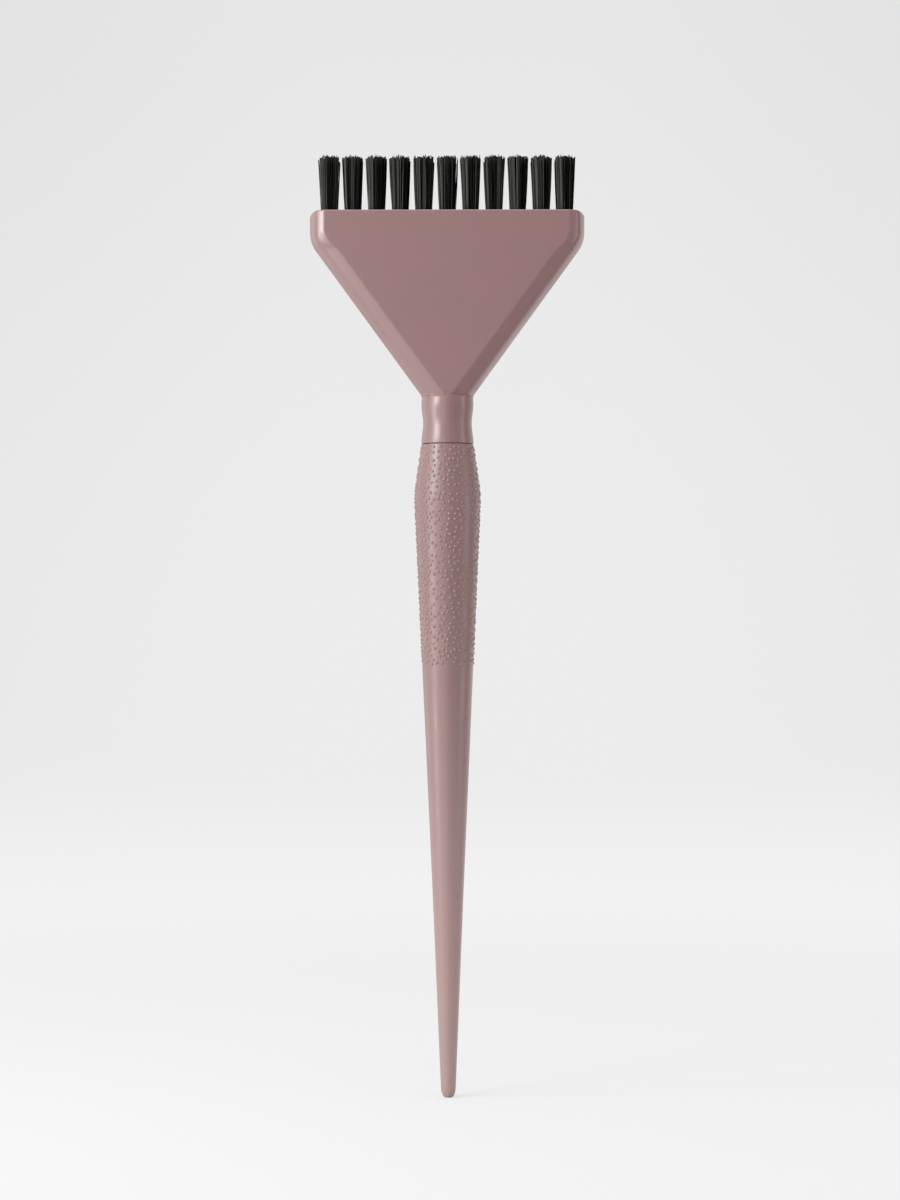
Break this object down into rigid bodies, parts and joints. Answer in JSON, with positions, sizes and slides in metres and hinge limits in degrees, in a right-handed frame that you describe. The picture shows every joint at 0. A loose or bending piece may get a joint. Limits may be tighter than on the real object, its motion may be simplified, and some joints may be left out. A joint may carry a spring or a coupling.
{
  "type": "tint brush",
  "caption": "Wide tint brush for hair colour: flat fan-shaped head with rows of short stiff bristle tufts, a round neck, a swelling dotted grip and a long tapered handle.",
  "frame": {"origin": "middle of the small flat at the handle's tip, the brush's lowest point as it stands upright", "axes": "+Z along the brush from the handle's tip to the bristles, +X along the rows of tufts, -Y out of the head's front face"},
  "size_m": [0.07, 0.0166, 0.24],
  "materials": {
    "head_plastic": "dusty rose moulded plastic, satin with a soft sheen on the rounded edges",
    "handle_plastic": "dusty rose moulded plastic, fine matt, with raised dots on the grip",
    "bristles": "stiff green-black nylon filament, satin",
    "anchors": "plain drawn flat wire"
  },
  "bodies": {
    "root": {"head": "head_plastic", "handle": "handle_plastic", "tuft_front_01": "bristles", "tuft_front_02": "bristles", "tuft_front_03": "bristles", "tuft_front_04": "bristles", "tuft_front_05": "bristles", "tuft_front_06": "bristles", "tuft_front_07": "bristles", "tuft_front_08": "bristles", "tuft_front_09": "bristles", "tuft_front_10": "bristles", "tuft_front_11": "bristles", "tuft_back_01": "bristles", "tuft_back_02": "bristles", "tuft_back_03": "bristles", "tuft_back_04": "bristles", "tuft_back_05": "bristles", "tuft_back_06": "bristles", "tuft_back_07": "bristles", "tuft_back_08": "bristles", "tuft_back_09": "bristles", "tuft_back_10": "bristles", "tuft_back_11": "bristles", "anchor_front_01": "anchors", "anchor_front_02": "anchors", "anchor_front_03": "anchors", "anchor_front_04": "anchors", "anchor_front_05": "anchors", "anchor_front_06": "anchors", "anchor_front_07": "anchors", "anchor_front_08": "anchors", "anchor_front_09": "anchors", "anchor_front_10": "anchors", "anchor_front_11": "anchors", "anchor_back_01": "anchors", "anchor_back_02": "anchors", "anchor_back_03": "anchors", "anchor_back_04": "anchors", "anchor_back_05": "anchors", "anchor_back_06": "anchors", "anchor_back_07": "anchors", "anchor_back_08": "anchors", "anchor_back_09": "anchors", "anchor_back_10": "anchors", "anchor_back_11": "anchors"}
  },
  "joints": []
}
